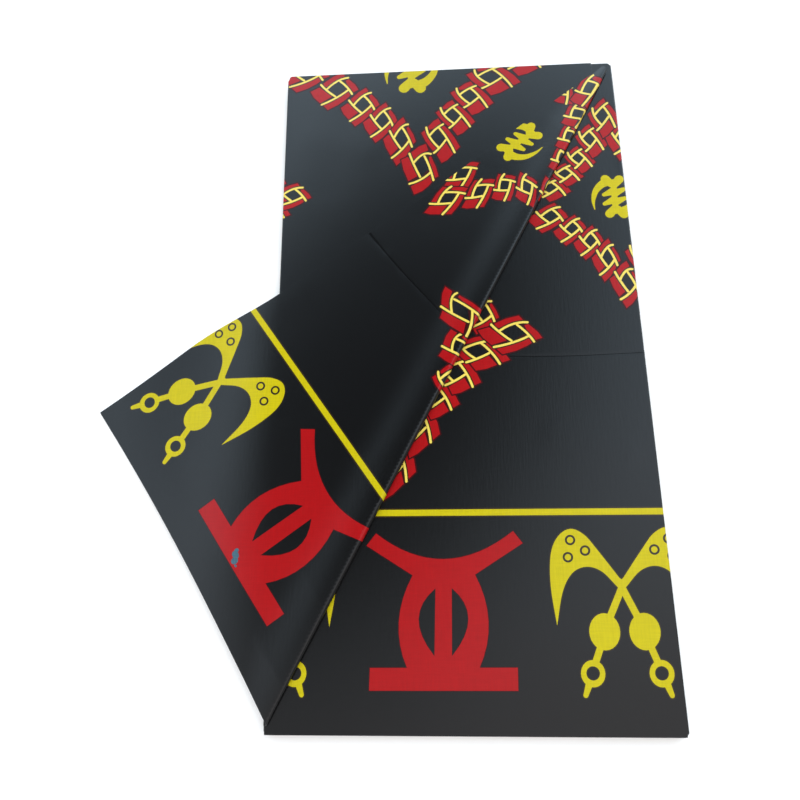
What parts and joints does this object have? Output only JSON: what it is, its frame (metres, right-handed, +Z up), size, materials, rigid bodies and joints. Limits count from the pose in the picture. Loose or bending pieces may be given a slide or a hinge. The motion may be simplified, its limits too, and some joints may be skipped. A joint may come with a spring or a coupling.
{
  "type": "folded wax print fabric",
  "caption": "Length of wax print cotton folded into a flat rectangular stack, the top panel's corner turned over the diagonal and draped past one side",
  "frame": {"origin": "centre of the stack's flat underside, on the table", "axes": "+Z up, +Y from the selvedges to the centre folds along the panels' length, +X across the panels from left to right, so the turned corner reaches out to -X"},
  "size_m": [0.471, 0.594, 0.0151],
  "materials": {
    "printed_cloth": "satin",
    "cloth_edges": "matte"
  },
  "bodies": {
    "root": {"folded_stack": "cloth_edges", "lower_panel": "printed_cloth", "upper_panel": "printed_cloth", "turned_flap": "printed_cloth"}
  },
  "joints": []
}
